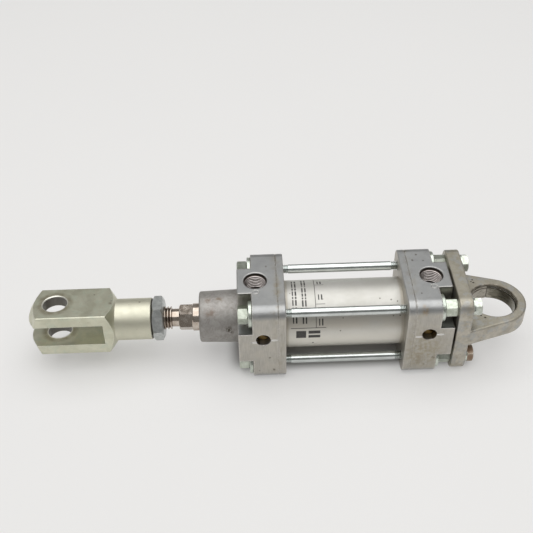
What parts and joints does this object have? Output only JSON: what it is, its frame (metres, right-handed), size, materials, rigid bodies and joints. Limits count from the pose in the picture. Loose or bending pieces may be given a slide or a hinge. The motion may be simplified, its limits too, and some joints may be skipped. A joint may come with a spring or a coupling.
{
  "type": "pneumatic cylinder",
  "caption": "Short square tie-rod air cylinder with a cast rod-end nose, a threaded rod carrying a slotted fork with its locknut, and an eye bracket bolted on the rear cover.",
  "frame": {"origin": "centre of the rear eye bore, on the cylinder axis", "axes": "+X along the cylinder axis from the rod towards the eye; +Z towards the side with the two air ports, along the eye bore; the cushion screws face -Y"},
  "size_m": [0.2147, 0.04, 0.04],
  "materials": {
    "cast_aluminium": "satin",
    "bracket_casting": "matt",
    "anodised_tube": "satin",
    "zinc_steel": "bright zinc",
    "fork_zinc": "yellow-green passivated zinc",
    "nut_zinc": "dull zinc",
    "rod_steel": "polished",
    "inner_aluminium": "machined",
    "plain_steel": "machined",
    "liner_steel": "worn",
    "bronze": "satin",
    "screw_brass": "satin",
    "black_rubber": "matt",
    "red_brown_polyurethane": "matt",
    "white_ptfe": "matt"
  },
  "bodies": {
    "cylinder": {"front_cover": "cast_aluminium", "rear_cover": "cast_aluminium", "barrel_tube": "anodised_tube", "tie_rods": "zinc_steel", "front_tie_rod_washers": "zinc_steel", "rear_tie_rod_washers": "zinc_steel", "front_tie_rod_nuts": "zinc_steel", "rear_tie_rod_nuts": "zinc_steel", "eye_bracket": "bracket_casting", "bracket_screws": "zinc_steel", "bracket_lock_washers": "zinc_steel", "eye_bush": "liner_steel", "eye_snap_ring": "liner_steel", "rod_bush": "bronze", "rod_seal": "red_brown_polyurethane", "front_tube_o_ring": "black_rubber", "rear_tube_o_ring": "black_rubber", "front_cushion_seal": "red_brown_polyurethane", "rear_cushion_seal": "red_brown_polyurethane"},
    "piston_packing": {"piston_seals": "black_rubber", "piston_guide_ring": "white_ptfe"},
    "rod": {"piston_rod": "rod_steel", "piston": "inner_aluminium", "piston_o_ring": "black_rubber", "front_cushion_sleeve": "inner_aluminium", "rear_cushion_sleeve": "inner_aluminium", "piston_nut": "plain_steel", "jam_nut": "nut_zinc", "fork_clevis": "fork_zinc"},
    "front_needle_seal": {"front_cushion_screw_o_ring": "black_rubber"},
    "front_needle": {"front_cushion_screw": "screw_brass"},
    "rear_needle_seal": {"rear_cushion_screw_o_ring": "black_rubber"},
    "rear_needle": {"rear_cushion_screw": "screw_brass"}
  },
  "joints": [
    {"name": "rod_slide", "type": "slide", "parent": "cylinder", "child": "piston_packing", "axis": [-1, 0, 0], "range_m": [0, 0.015]},
    {"name": "rod_turn", "type": "hinge", "parent": "piston_packing", "child": "rod", "pos_m": [-0.0585, 0, 0], "axis": [1, 0, 0], "continuous": true},
    {"name": "front_needle_travel", "type": "slide", "parent": "cylinder", "child": "front_needle_seal", "axis": [0, -1, 0], "range_m": [0, 0.0015]},
    {"name": "front_needle_turn", "type": "hinge", "parent": "front_needle_seal", "child": "front_needle", "pos_m": [-0.1006, -0.0154, 0.0045], "axis": [0, -1, 0], "range_deg": [0, 1080]},
    {"name": "rear_needle_travel", "type": "slide", "parent": "cylinder", "child": "rear_needle_seal", "axis": [0, -1, 0], "range_m": [0, 0.0015]},
    {"name": "rear_needle_turn", "type": "hinge", "parent": "rear_needle_seal", "child": "rear_needle", "pos_m": [-0.0314, -0.0154, 0.0045], "axis": [0, -1, 0], "range_deg": [0, 1080]}
  ],
  "couplings": [
    {"joint": "front_needle_turn", "follows": "front_needle_travel", "rad_per_m": 12566},
    {"joint": "rear_needle_turn", "follows": "rear_needle_travel", "rad_per_m": 12566}
  ]
}
